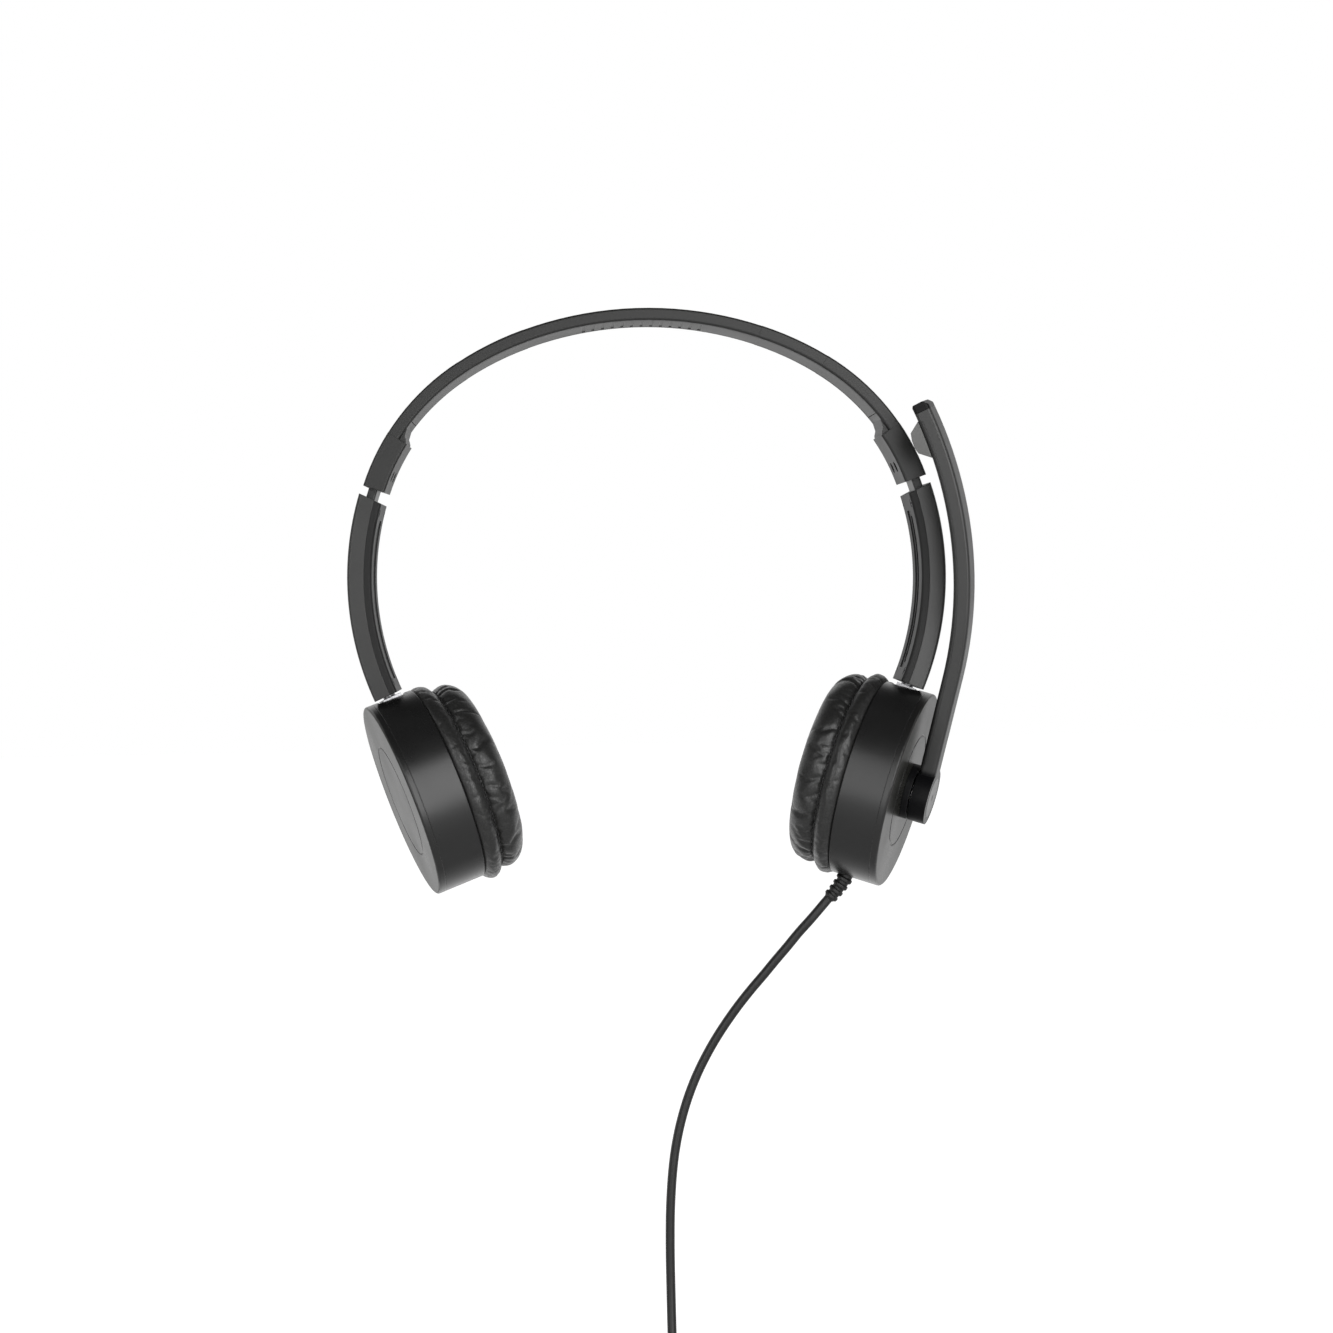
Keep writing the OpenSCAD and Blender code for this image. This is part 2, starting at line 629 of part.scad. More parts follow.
module wave_washer() color([0.6, 0.6, 0.62]) at_hub()
  rotate([0, 90, 0]) translate([0, 0, 2.2]) difference() {
    cylinder(h = 0.14, r = 6.4);
    translate([0, 0, -1]) cylinder(h = 3, r = 3.3);
  }

// ---------- cord ----------

function unit(v) = v / norm(v);
function dir_at(p, i) = unit(p[min(i + 1, len(p) - 1)] - p[max(i - 1, 0)]);
function side(t) = unit(cross(t, [0, 1, 0]));
function ring(p, i, r) = let (t = dir_at(p, i), s = side(t), b = cross(t, s))
  [for (k = [0:7]) p[i] + r * (cos(k * 45) * s + sin(k * 45) * b)];

module sweep(p, r) {
  n = len(p);
  pts = [for (i = [0:n - 1]) each ring(p, i, r)];
  faces = concat(
    [[for (k = [0:7]) k]],
    [for (i = [0:n - 2], k = [0:7])
      [i * 8 + k, (i + 1) * 8 + k, (i + 1) * 8 + (k + 1) % 8, i * 8 + (k + 1) % 8]],
    [[for (k = [7:-1:0]) (n - 1) * 8 + k]]);
  polyhedron(points = pts, faces = faces);
}

module cord_tube() color([0.06, 0.06, 0.06]) union() {
  sweep(route, cord_r);
  sweep(tail, cord_r);
}

// racetrack bundle of the cord's spare length
module cord_hank() color([0.06, 0.06, 0.06])
  translate([hank_x, 4, hank_top - hank_h / 2]) rotate([90, 0, 0])
    linear_extrude(hank_t, center = true) union() {
      square([hank_w, hank_h - hank_w], center = true);
      for (s = [-1, 1]) translate([0, s * (hank_h - hank_w) / 2]) circle(hank_w / 2);
    }

module cord_tie() color([0.04, 0.04, 0.04])
  translate([hank_x, 4, hank_top - hank_h / 2]) difference() {
    linear_extrude(8, center = true) rrect(hank_w + 2.4, hank_t + 2.4, 1.6);
    linear_extrude(9, center = true) square([hank_w, hank_t], center = true);
  }

module plug_grip() color([0.1, 0.1, 0.1]) translate([3, 8.4, plug_top])
  union() {
    translate([0, 0, -6]) cylinder(h = 6, r = 2.6);
    for (i = [0:2]) translate([0, 0, -1.6 - i * 1.8]) cylinder(h = 0.9, r = 3.1);
    difference() {
      translate([0, 0, -28]) linear_extrude(22.4) rrect(15, 7.6, 2);
      translate([0, 0, -29]) linear_extrude(5.1) rrect(12.1, 4.6, 0.3);
    }
  }

module plug_shell() color([0.75, 0.75, 0.77]) translate([3, 8.4, plug_top - 39.8])
  difference() {
    linear_extrude(15.8) rrect(12, 4.5, 0.3);
    translate([0, 0, -0.1]) linear_extrude(12) translate([0, 0.5]) square([11.3, 2.8], center = true);
    for (s = [-1, 1]) translate([s * 2.9 - 1.2, -3, 8]) cube([2.4, 6, 2.2]);
  }

headband_frame();
headband_liner();
spring_band();
slider_rail_l();
slider_rail_r();
band_screws();
arm_shell_l();
arm_shell_r();
arm_cover_l();
arm_cover_r();
arm_detent_l();
arm_detent_r();
arm_screws_l();
arm_screws_r();
pivot_neck_l();
pivot_neck_r();
neck_clip_l();
neck_clip_r();
cup_housing_l();
cup_housing_r();
cup_cap_l();
cup_cap_r();
cup_baffle_l();
cup_baffle_r();
driver_frame_l();
driver_frame_r();
driver_magnet_l();
driver_magnet_r();
driver_cone_l();
driver_cone_r();
ear_cushion_l();
ear_cushion_r();
ear_scrim_l();
ear_scrim_r();
tilt_pin_l();
tilt_pin_r();
cup_screws_l();
cup_screws_r();
strain_relief();
audio_board();
hub_base();
boom_arm();
boom_back();
boom_cap();
boom_tip();
mic_pod();
mic_capsule();
mic_grille();
hub_screw();
wave_washer();
cord_tube();
cord_hank();
cord_tie();
plug_grip();
plug_shell();
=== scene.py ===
import json
import math
import bpy
from mathutils import Matrix, Vector, noise


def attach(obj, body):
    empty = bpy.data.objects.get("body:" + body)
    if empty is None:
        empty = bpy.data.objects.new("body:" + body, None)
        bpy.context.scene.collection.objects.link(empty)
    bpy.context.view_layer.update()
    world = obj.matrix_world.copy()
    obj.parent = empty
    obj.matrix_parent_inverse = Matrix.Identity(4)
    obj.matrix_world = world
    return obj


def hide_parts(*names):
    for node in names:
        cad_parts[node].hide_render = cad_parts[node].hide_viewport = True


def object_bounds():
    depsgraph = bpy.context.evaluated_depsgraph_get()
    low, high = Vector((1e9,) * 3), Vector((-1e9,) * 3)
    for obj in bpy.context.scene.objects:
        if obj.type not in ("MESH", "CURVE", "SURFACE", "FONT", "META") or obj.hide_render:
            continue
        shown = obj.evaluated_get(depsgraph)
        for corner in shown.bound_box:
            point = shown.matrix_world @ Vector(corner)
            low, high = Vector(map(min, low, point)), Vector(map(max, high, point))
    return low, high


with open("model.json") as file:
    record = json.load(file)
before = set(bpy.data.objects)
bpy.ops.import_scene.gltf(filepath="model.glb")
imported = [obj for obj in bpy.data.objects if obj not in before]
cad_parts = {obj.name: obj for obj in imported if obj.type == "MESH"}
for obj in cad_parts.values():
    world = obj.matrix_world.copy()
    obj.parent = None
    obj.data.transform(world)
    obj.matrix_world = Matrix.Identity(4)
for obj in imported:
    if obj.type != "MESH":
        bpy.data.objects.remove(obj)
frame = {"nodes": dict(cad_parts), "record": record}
cad_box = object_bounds()
nodes = frame["nodes"]
scene = bpy.context.scene
MM = 0.001

# ---------------------------------------------------------------- camera
AIM, ROLL = math.radians(1.72), math.radians(-1.2)
fwd = Vector((math.sin(AIM), math.cos(AIM), 0))
right0 = Vector((math.cos(AIM), -math.sin(AIM), 0))
up0 = Vector((0, 0, 1))
right = right0 * math.cos(ROLL) + up0 * math.sin(ROLL)
up = up0 * math.cos(ROLL) - right0 * math.sin(ROLL)
cam_data = bpy.data.cameras.new("camera")
cam = bpy.data.objects.new("camera", cam_data)
scene.collection.objects.link(cam)
cam.matrix_world = Matrix((
    (right.x, up.x, -fwd.x, -0.0212),
    (right.y, up.y, -fwd.y, -0.7),
    (right.z, up.z, -fwd.z, -0.08258),
    (0, 0, 0, 1)))
cam_data.sensor_width = 36
cam_data.lens = 36 * 2258 / 1333
cam_data.shift_x = 20 / 1333
cam_data.shift_y = -76.5 / 1333
cam_data.clip_start, cam_data.clip_end = 0.05, 50
scene.camera = cam

# ---------------------------------------------------------------- frames of the cups, at rest
CUP = {
    "r": Matrix(((0.909292269, 0.282301072, 0.305767353, 0.072497091),
                 (-0.307030589, 0.951056516, 0.034981717, -0.001672453),
                 (-0.280926657, -0.125688535, 0.951463402, -0.144179227),
                 (0, 0, 0, 1))),
    "l": Matrix(((-0.916335545, -0.205503014, -0.343653429, -0.070562528),
                 (-0.224403085, 0.974370065, 0.015691792, -0.000723095),
                 (-0.331620903, -0.091495837, 0.938965435, -0.143569731),
                 (0, 0, 0, 1))),
}
HALF = 7.45  # half the housing's length, mm


def new_object(name, mesh):
    ob = bpy.data.objects.new(name, mesh)
    scene.collection.objects.link(ob)
    return ob


def mesh_object(name, verts, faces, smooth=True):
    me = bpy.data.meshes.new(name)
    me.from_pydata(verts, [], faces)
    me.validate()
    me.polygons.foreach_set("use_smooth", [smooth] * len(me.polygons))
    me.update()
    return new_object(name, me)


def catmull(pts, n, closed=False):
    """n points a span along a smooth curve through pts."""
    pts = [Vector(p) for p in pts]
    out = []
    m = len(pts)
    spans = m if closed else m - 1
    for i in range(spans):
        if closed:
            p0, p1, p2, p3 = (pts[(i + k) % m] for k in (-1, 0, 1, 2))
        else:
            p1, p2 = pts[i], pts[i + 1]
            p0 = pts[i - 1] if i else p1 * 2 - p2
            p3 = pts[i + 2] if i + 2 < m else p2 * 2 - p1
        for k in range(n):
            t = k / n
            out.append(0.5 * ((2 * p1) + (p2 - p0) * t
                              + (2 * p0 - 5 * p1 + 4 * p2 - p3) * t * t
                              + (3 * p1 - p0 - 3 * p2 + p3) * t * t * t))
    if not closed:
        out.append(pts[-1].copy())
    return out


def smooth01(t):
    t = min(1, max(0, t))
    return t * t * (3 - 2 * t)


# ---------------------------------------------------------------- cord
CORD_D = 2.9
route = [
    (55.33, -1.1, -178.44), (54.39, -0.95, -179.37), (49.04, -0.8, -185.4),
    (44.81, 0, -190.1), (41.24, 0.6, -194.4), (37.6, 1.1, -198.6), (34, 1.6, -202.9),
    (30, 2.1, -207.5), (26.1, 2.6, -212.3), (22.4, 3, -217.3), (18.9, 3.4, -222.5),
    (15.7, 3.7, -227.9), (12.8, 3.9, -233.5), (10.3, 4, -239.3), (8.2, 4, -245.3),
    (6.5, 4, -251.5), (5.2, 4, -257.8), (4.3, 4, -264.3), (3.7, 4, -270.9),
    (3.3, 4, -277.6), (3.1, 4, -284.3), (3, 4, -291.3), (3, 3.9, -298.3), (3, 3.4, -305.3),
    (3, 2.5, -312.3), (3, 1.4, -319.3), (3, 0.4, -326.3), (3, -0.2, -333.3),
    (3, -0.4, -340.3)]
HX, HY, HTOP, RUN = 19.5, 4.0, -327.3, 55.0
RING = [16.5, 13.55, 10.6]
LAY = [HY - 4.425, HY - 1.475, HY + 1.475, HY + 4.425]


def hank_path():
    z1 = HTOP - 18
    z0 = z1 - RUN
    pts = []

    def left_run(a, m0, m1):
        for k in range(14):
            t = k / 14
            y = LAY[m0] + (LAY[m1] - LAY[m0]) * smooth01(t)
            pts.append((HX - RING[a], y, z1 + (z0 - z1) * t))

    def right_run(a, b, m):
        for k in range(14):
            t = k / 14
            r = RING[a] + (RING[b] - RING[a]) * smooth01(t)
            pts.append((HX + r, LAY[m], z0 + (z1 - z0) * t))

    def fold(a, m, top):
        n = 18
        for k in range(n):
            an = math.pi * k / n
            if top:
                pts.append((HX + RING[a] * math.cos(an), LAY[m], z1 + RING[a] * math.sin(an)))
            else:
                pts.append((HX - RING[a] * math.cos(an), LAY[m], z0 - RING[a] * math.sin(an)))

    ring, lay = 0, 0
    steps = [(1, 0), (2, 0), (1, 1), (0, 1), (1, 2), (2, 2), (1, 3), (0, 3)]
    for i, (nxt, m) in enumerate(steps):
        left_run(ring, lay, m)      # changes layer on the way down when m differs
        lay = m
        fold(ring, lay, False)
        right_run(ring, nxt, lay)
        fold(nxt, lay, True)
        ring = nxt
    for k in range(10):             # out at the bottom, to the plug
        t = k / 9
        pts.append((HX - RING[0], LAY[3], z1 + (-429.3 - z1) * t))
    return pts


line = [Vector(p) for p in catmull(route, 4)] + [Vector(p) for p in hank_path()]
clean = [line[0]]
for p in line[1:]:
    if (p - clean[-1]).length > 0.25:
        clean.append(p)
cd = bpy.data.curves.new("cord", "CURVE")
cd.dimensions = "3D"
cd.bevel_depth = 1.0           # times each point's radius
cd.bevel_resolution = 5
cd.use_fill_caps = True
sp = cd.splines.new("POLY")
sp.points.add(len(clean) - 1)
for q, p in zip(sp.points, clean):
    q.co = (p.x * MM, p.y * MM, p.z * MM, 1)
    q.radius = CORD_D / 2 * MM
sp.use_smooth = True
cord = new_object("cord", cd)
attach(cord, "cup_r")
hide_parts("cord_tube", "cord_hank")


# ---------------------------------------------------------------- materials
def nt_new(name):
    mat = bpy.data.materials.new(name)
    mat.use_nodes = True
    nt = mat.node_tree
    nt.nodes.clear()
    out = nt.nodes.new("ShaderNodeOutputMaterial")
    bs = nt.nodes.new("ShaderNodeBsdfPrincipled")
    nt.links.new(bs.outputs[0], out.inputs[0])
    tc = nt.nodes.new("ShaderNodeTexCoord")
    return mat, nt, bs, tc


def node(nt, kind, **kw):
    n = nt.nodes.new(kind)
    for k, v in kw.items():
        if k in ("operation", "blend_type", "data_type", "feature", "samples", "distance",
                 "interpolation_type", "wave_type", "bands_direction", "clamp", "invert"):
            setattr(n, k, v)
        else:
            n.inputs[k].default_value = v
    return n


def noise_tex(nt, tc, scale, detail=3, rough=0.5, distort=0.0, coord="Object"):
    n = nt.nodes.new("ShaderNodeTexNoise")
    n.inputs["Scale"].default_value = scale
    n.inputs["Detail"].default_value = detail
    n.inputs["Roughness"].default_value = rough
    n.inputs["Distortion"].default_value = distort
    nt.links.new(tc.outputs[coord], n.inputs["Vector"])
    return n.outputs["Fac"]


def maprange(nt, src, a, b, c, d, smooth=False):
    n = nt.nodes.new("ShaderNodeMapRange")
    if smooth:
        n.interpolation_type = "SMOOTHSTEP"
    nt.links.new(src, n.inputs["Value"])
    n.inputs["From Min"].default_value = a
    n.inputs["From Max"].default_value = b
    n.inputs["To Min"].default_value = c
    n.inputs["To Max"].default_value = d
    return n.outputs["Result"]


def mixcol(nt, fac, a, b):
    n = nt.nodes.new("ShaderNodeMix")
    n.data_type = "RGBA"
    nt.links.new(fac, n.inputs["Factor"])
    for sock, v in ((n.inputs[6], a), (n.inputs[7], b)):
        if isinstance(v, (tuple, list)):
            sock.default_value = (*v, 1) if len(v) == 3 else v
        else:
            nt.links.new(v, sock)
    return n.outputs[2]


def mth(nt, op, a, b=None, clamp=False):
    n = nt.nodes.new("ShaderNodeMath")
    n.operation = op
    n.use_clamp = clamp
    for i, v in enumerate((a, b)):
        if v is None:
            continue
        if isinstance(v, (int, float)):
            n.inputs[i].default_value = v
        else:
            nt.links.new(v, n.inputs[i])
    return n.outputs[0]


def edge_mask(nt, bevel):
    """1 on edges, 0 on flats, from the angle between the rounded and the plain normal."""
    geo = nt.nodes.new("ShaderNodeNewGeometry")
    dot = nt.nodes.new("ShaderNodeVectorMath")
    dot.operation = "DOT_PRODUCT"
    nt.links.new(bevel.outputs[0], dot.inputs[0])
    nt.links.new(geo.outputs["Normal"], dot.inputs[1])
    return maprange(nt, dot.outputs["Value"], 0.995, 0.86, 0, 1, True)


def plastic(name, base, rough=0.42, grain=1700, depth=0.00004, strength=0.25, edge=0.00035,
            wear=0.35, spec=0.5, mottled=0.12, drum=None, painted_shade_faces=None):
    """Moulded plastic: fine spark-eroded grain, slow mottle in tone and gloss, rounded and slightly rubbed edges."""
    mat, nt, bs, tc = nt_new(name)
    fine = noise_tex(nt, tc, grain, 4, 0.6)
    slow = noise_tex(nt, tc, 38, 3, 0.55)
    mid = noise_tex(nt, tc, 260, 3, 0.5)
    bev = nt.nodes.new("ShaderNodeBevel")
    bev.samples = 4
    bev.inputs["Radius"].default_value = edge
    mask = edge_mask(nt, bev)
    rub = mth(nt, "MULTIPLY", mask, maprange(nt, mid, 0.4, 0.62, 0.25, 1))
    lo = tuple(c * (1 - mottled) for c in base)
    hi = tuple(c * (1 + mottled) for c in base)
    worn = tuple(min(1, c * 1.9 + 0.012) for c in base)
    col = mixcol(nt, maprange(nt, slow, 0.3, 0.7, 0, 1), lo, hi)
    col = mixcol(nt, mth(nt, "MULTIPLY", rub, wear), col, worn)
    nt.links.new(col, bs.inputs["Base Color"])
    r = mth(nt, "ADD", maprange(nt, slow, 0.3, 0.7, rough - 0.035, rough + 0.035),
            maprange(nt, fine, 0.3, 0.7, -0.02, 0.03))
    r = mth(nt, "SUBTRACT", r, mth(nt, "MULTIPLY", rub, 0.09), clamp=True)
    nt.links.new(r, bs.inputs["Roughness"])
    bmp = nt.nodes.new("ShaderNodeBump")
    bmp.inputs["Strength"].default_value = strength
    bmp.inputs["Distance"].default_value = depth
    nt.links.new(fine, bmp.inputs["Height"])
    nt.links.new(bev.outputs[0], bmp.inputs["Normal"])
    nt.links.new(bmp.outputs[0], bs.inputs["Normal"])
    bs.inputs["Specular IOR Level"].default_value = spec
    if painted_shade_faces:
        # painted shade: faces picked by their direction are painted darker and less glossy, standing in for the dark
        # surroundings they face; "ring": faces towards or away from the head, "front": everything but the faces to the
        # front and back, "disc": faces along x, which on the cap's disc get a painted flat matt tone in place of its
        # reflection
        nsep = nt.nodes.new("ShaderNodeSeparateXYZ")
        nt.links.new(tc.outputs["Normal"], nsep.inputs[0])
        if painted_shade_faces == "disc":
            side = maprange(nt, mth(nt, "ABSOLUTE", nsep.outputs["X"]), 0.5, 0.8, 0, 1, True)
        elif painted_shade_faces == "front":
            side = maprange(nt, mth(nt, "ABSOLUTE", nsep.outputs["Y"]), 0.6, 0.85, 1, 0, True)
        else:
            side = maprange(nt, mth(nt, "ABSOLUTE", nsep.outputs["Y"]), 0.35, 0.75, 1, 0, True)
        # painted shade colour for the picked faces; on the cap's disc a lighter painted flat tone in place of its
        # reflection
        low = (0.0195, 0.0195, 0.0175) if painted_shade_faces == "disc" else tuple(c * 0.85 for c in base)
        col = mixcol(nt, side, col, low)
        nt.links.new(col, bs.inputs["Base Color"])
        nt.links.new(maprange(nt, side, 0, 1, spec, 0.08 if painted_shade_faces == "disc" else 0.17),
                     bs.inputs["Specular IOR Level"])
    if drum:
        # the side of a round boss, about an axis, is polished darker than the rest
        at, ax, rad = drum
        v = nt.nodes.new("ShaderNodeVectorMath")
        v.operation = "SUBTRACT"
        nt.links.new(tc.outputs["Object"], v.inputs[0])
        v.inputs[1].default_value = at
        x = nt.nodes.new("ShaderNodeVectorMath")
        x.operation = "CROSS_PRODUCT"
        nt.links.new(v.outputs[0], x.inputs[0])
        x.inputs[1].default_value = ax
        ln = nt.nodes.new("ShaderNodeVectorMath")
        ln.operation = "LENGTH"
        nt.links.new(x.outputs[0], ln.inputs[0])
        near = maprange(nt, ln.outputs["Value"], rad, rad + 0.0016, 1, 0, True)
        dt = nt.nodes.new("ShaderNodeVectorMath")
        dt.operation = "DOT_PRODUCT"
        nt.links.new(tc.outputs["Normal"], dt.inputs[0])
        dt.inputs[1].default_value = ax
        flat = maprange(nt, dt.outputs["Value"], 0.6, 0.85, 1, 0, True)
        dark = mth(nt, "MULTIPLY", near, flat)
        nt.links.new(mixcol(nt, dark, col, (0.004, 0.004, 0.0045)), bs.inputs["Base Color"])
        low = maprange(nt, dark, 0, 1, spec, 0.1)
        # the faces with painted shade keep their duller painted gloss here too
        if painted_shade_faces:
            low = mth(nt, "MINIMUM", low, maprange(nt, side, 0, 1, spec, 0.17))
        nt.links.new(low, bs.inputs["Specular IOR Level"])
    return mat


def metal(name, base, rough=0.3, brushed=0.0, wear=0.3):
    """Bare or plated metal: fine drawn lines or mottle, with brighter rubbed edges."""
    mat, nt, bs, tc = nt_new(name)
    mp = nt.nodes.new("ShaderNodeMapping")
    mp.inputs["Scale"].default_value = (1, 1, 14) if brushed else (1, 1, 1)
    nt.links.new(tc.outputs["Object"], mp.inputs["Vector"])
    n1 = nt.nodes.new("ShaderNodeTexNoise")
    n1.inputs["Scale"].default_value = 420
    n1.inputs["Detail"].default_value = 4
    nt.links.new(mp.outputs[0], n1.inputs["Vector"])
    fine = n1.outputs["Fac"]
    slow = noise_tex(nt, tc, 120, 3, 0.5)
    bev = nt.nodes.new("ShaderNodeBevel")
    bev.samples = 4
    bev.inputs["Radius"].default_value = 0.0002
    mask = edge_mask(nt, bev)
    col = mixcol(nt, maprange(nt, slow, 0.3, 0.7, 0, 1), tuple(c * 0.88 for c in base), base)
    col = mixcol(nt, mth(nt, "MULTIPLY", mask, wear), col, tuple(min(1, c * 1.35) for c in base))
    nt.links.new(col, bs.inputs["Base Color"])
    nt.links.new(maprange(nt, fine, 0.3, 0.7, rough - 0.06, rough + 0.08), bs.inputs["Roughness"])
    bs.inputs["Metallic"].default_value = 1.0
    bmp = nt.nodes.new("ShaderNodeBump")
    bmp.inputs["Strength"].default_value = 0.15
    bmp.inputs["Distance"].default_value = 0.00002
    nt.links.new(fine, bmp.inputs["Height"])
    nt.links.new(bev.outputs[0], bmp.inputs["Normal"])
    nt.links.new(bmp.outputs[0], bs.inputs["Normal"])
    return mat


def leatherette(name, base):
    """Coated cloth: pebbled grain of about a millimetre over finer pores, soft sheen, paler on stretched crowns."""
    mat, nt, bs, tc = nt_new(name)
    warp = nt.nodes.new("ShaderNodeTexNoise")
    warp.inputs["Scale"].default_value = 500
    warp.inputs["Detail"].default_value = 2
    nt.links.new(tc.outputs["Object"], warp.inputs["Vector"])
    mixv = nt.nodes.new("ShaderNodeVectorMath")
    mixv.operation = "MULTIPLY_ADD"
    nt.links.new(warp.outputs["Color"], mixv.inputs[0])
    mixv.inputs[1].default_value = (0.0009, 0.0009, 0.0009)
    nt.links.new(tc.outputs["Object"], mixv.inputs[2])
    vo = nt.nodes.new("ShaderNodeTexVoronoi")
    vo.feature = "DISTANCE_TO_EDGE"
    vo.inputs["Scale"].default_value = 1050
    nt.links.new(mixv.outputs[0], vo.inputs["Vector"])
    pebble = maprange(nt, vo.outputs["Distance"], 0.0, 0.22, 0, 1, True)
    pores = noise_tex(nt, tc, 3600, 3, 0.6)
    slow = noise_tex(nt, tc, 110, 4, 0.55)
    height = mth(nt, "ADD", mth(nt, "MULTIPLY", pebble, 0.75), mth(nt, "MULTIPLY", pores, 0.35))
    col = mixcol(nt, maprange(nt, slow, 0.3, 0.7, 0, 1), tuple(c * 0.8 for c in base),
                 tuple(c * 1.25 for c in base))
    col = mixcol(nt, pebble, tuple(c * 0.62 for c in base), col)
    nt.links.new(col, bs.inputs["Base Color"])
    r = mth(nt, "ADD", maprange(nt, slow, 0.3, 0.7, 0.27, 0.38), maprange(nt, pebble, 0, 1, 0.12, 0.0))
    nt.links.new(r, bs.inputs["Roughness"])
    bmp = nt.nodes.new("ShaderNodeBump")
    bmp.inputs["Strength"].default_value = 0.32
    bmp.inputs["Distance"].default_value = 0.00006
    nt.links.new(height, bmp.inputs["Height"])
    nt.links.new(bmp.outputs[0], bs.inputs["Normal"])
    bs.inputs["Specular IOR Level"].default_value = 0.5
    bs.inputs["Sheen Weight"].default_value = 0.06
    bs.inputs["Sheen Roughness"].default_value = 0.4
    return mat


def woven(name, base, pitch=0.00055, rough=0.85, coord="Object"):
    """Fine plain weave from two crossed waves."""
    mat, nt, bs, tc = nt_new(name)
    sep = nt.nodes.new("ShaderNodeSeparateXYZ")
    nt.links.new(tc.outputs[coord], sep.inputs[0])
    k = math.pi / pitch
    a = mth(nt, "SINE", mth(nt, "MULTIPLY", sep.outputs["Y"], k))
    b = mth(nt, "SINE", mth(nt, "MULTIPLY", sep.outputs["Z"], k))
    a2 = mth(nt, "MULTIPLY", a, a)
    b2 = mth(nt, "MULTIPLY", b, b)
    h = mth(nt, "MULTIPLY", a2, b2)
    n = noise_tex(nt, tc, 900, 3, 0.6)
    col = mixcol(nt, h, tuple(c * 0.35 for c in base), tuple(c * 1.3 for c in base))
    col = mixcol(nt, maprange(nt, n, 0.35, 0.65, 0, 0.35), col, tuple(c * 0.6 for c in base))
    nt.links.new(col, bs.inputs["Base Color"])
    nt.links.new(maprange(nt, n, 0.3, 0.7, rough - 0.08, rough + 0.06), bs.inputs["Roughness"])
    bmp = nt.nodes.new("ShaderNodeBump")
    bmp.inputs["Strength"].default_value = 0.7
    bmp.inputs["Distance"].default_value = 0.00012
    nt.links.new(h, bmp.inputs["Height"])
    nt.links.new(bmp.outputs[0], bs.inputs["Normal"])
    bs.inputs["Sheen Weight"].default_value = 0.15
    return mat


def rubber(name, base, rough=0.5, grain=1400, strength=0.3, edge=0.00025):
    """Moulded PVC or rubber: slight orange peel, dusty low spots."""
    mat, nt, bs, tc = nt_new(name)
    fine = noise_tex(nt, tc, grain, 3, 0.5)
    slow = noise_tex(nt, tc, 75, 4, 0.6)
    col = mixcol(nt, maprange(nt, slow, 0.3, 0.7, 0, 1), tuple(c * 0.8 for c in base),
                 tuple(c * 1.3 for c in base))
    nt.links.new(col, bs.inputs["Base Color"])
    nt.links.new(mth(nt, "ADD", maprange(nt, slow, 0.3, 0.7, rough - 0.05, rough + 0.06),
                     maprange(nt, fine, 0.3, 0.7, -0.03, 0.03)), bs.inputs["Roughness"])
    bev = nt.nodes.new("ShaderNodeBevel")
    bev.samples = 4
    bev.inputs["Radius"].default_value = edge
    bmp = nt.nodes.new("ShaderNodeBump")
    bmp.inputs["Strength"].default_value = strength
    bmp.inputs["Distance"].default_value = 0.00003
    nt.links.new(fine, bmp.inputs["Height"])
    nt.links.new(bev.outputs[0], bmp.inputs["Normal"])
    nt.links.new(bmp.outputs[0], bs.inputs["Normal"])
    return mat


